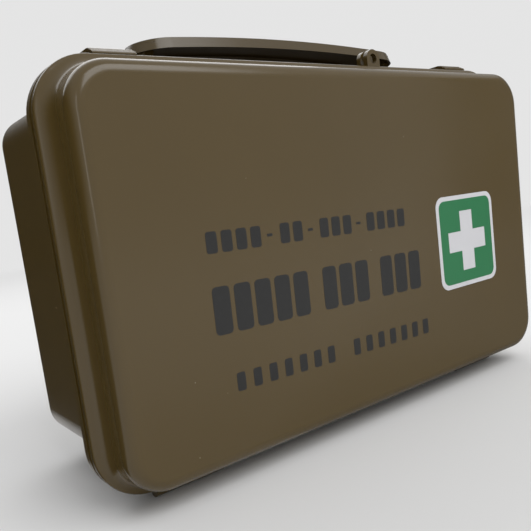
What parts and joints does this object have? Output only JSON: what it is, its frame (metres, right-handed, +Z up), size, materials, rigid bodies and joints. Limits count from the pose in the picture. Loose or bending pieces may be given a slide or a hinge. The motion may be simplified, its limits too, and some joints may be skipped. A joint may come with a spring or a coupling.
{
  "type": "first aid kit",
  "caption": "Moulded olive hard case with a hinged lid, carrying handle, snap latches and seal tabs, holding dressings, bandages, tape, antiseptic and small instruments.",
  "frame": {"origin": "centre of the footprint, on the surface that the kit stands on", "axes": "+X to the right across the lid, +Y from the lid to the back, +Z up"},
  "size_m": [0.24, 0.0904, 0.1661],
  "materials": {
    "case_plastic": "smooth glossy olive drab moulding, fine scuffs and dust",
    "seal_rubber": "matte black rubber",
    "pin_steel": "plain steel wire",
    "label_film": "printed vinyl, satin",
    "card_stock": "coated card",
    "dressing_wrap": "heat-sealed olive cloth laminate",
    "muslin": "pressed unbleached muslin",
    "carton_board": "folding carton board",
    "paper_wrap": "crinkled sterile paper",
    "foil_film": "clear packet over silver film",
    "gauze": "open-weave cotton gauze",
    "bottle_plastic": "amber polyethylene",
    "cap_plastic": "ribbed white cap",
    "spool_plastic": "moulded spool",
    "tape_cloth": "zinc-oxide cloth tape",
    "tool_steel": "polished stainless steel"
  },
  "bodies": {
    "case": {"base_case": "case_plastic", "gasket": "seal_rubber", "hinge_pin_left": "pin_steel", "hinge_pin_right": "pin_steel", "latch_pin_left": "pin_steel", "latch_pin_right": "pin_steel", "handle_pin_left": "pin_steel", "handle_pin_right": "pin_steel", "dressing_front": "dressing_wrap", "dressing_back": "dressing_wrap", "triangular_bandage": "muslin", "bandage_carton": "carton_board", "eye_dressing": "paper_wrap", "rescue_blanket": "foil_film", "gauze_roll_1": "gauze", "gauze_roll_2": "gauze", "gauze_roll_3": "gauze", "gauze_roll_4": "gauze", "antiseptic_bottle": "bottle_plastic", "tape_spool": "spool_plastic", "adhesive_tape": "tape_cloth", "scissors_blade_rear": "tool_steel", "scissors_rivet": "tool_steel", "tweezers": "tool_steel"},
    "lid": {"lid": "case_plastic", "emblem_label": "label_film", "instruction_card": "card_stock"},
    "latch_left": {"latch_left": "case_plastic"},
    "latch_right": {"latch_right": "case_plastic"},
    "handle": {"carry_handle": "case_plastic"},
    "scissors_front_half": {"scissors_blade_front": "tool_steel"},
    "bottle_cap": {"bottle_cap": "cap_plastic"}
  },
  "joints": [
    {"name": "lid_hinge", "type": "hinge", "parent": "case", "child": "lid", "pos_m": [0, -0.02488, 0.0032], "axis": [1, 0, 0], "range_deg": [0, 175]},
    {"name": "latch_left_hinge", "type": "hinge", "parent": "case", "child": "latch_left", "pos_m": [-0.0902, -0.01158, 0.148], "axis": [-1, 0, 0], "range_deg": [0, 120]},
    {"name": "latch_right_hinge", "type": "hinge", "parent": "case", "child": "latch_right", "pos_m": [0.0902, -0.01158, 0.148], "axis": [-1, 0, 0], "range_deg": [0, 120]},
    {"name": "handle_swing", "type": "hinge", "parent": "case", "child": "handle", "pos_m": [0, 0.00392, 0.1499], "axis": [1, 0, 0], "range_deg": [-55, 55]},
    {"name": "scissors_open", "type": "hinge", "parent": "case", "child": "scissors_front_half", "pos_m": [0.04, 0.03893, 0.0853], "axis": [0, -1, 0], "range_deg": [0, 35]},
    {"name": "cap_turn", "type": "hinge", "parent": "case", "child": "bottle_cap", "pos_m": [0.0396, -0.00907, 0.0773], "axis": [0, 0, 1], "continuous": true}
  ]
}
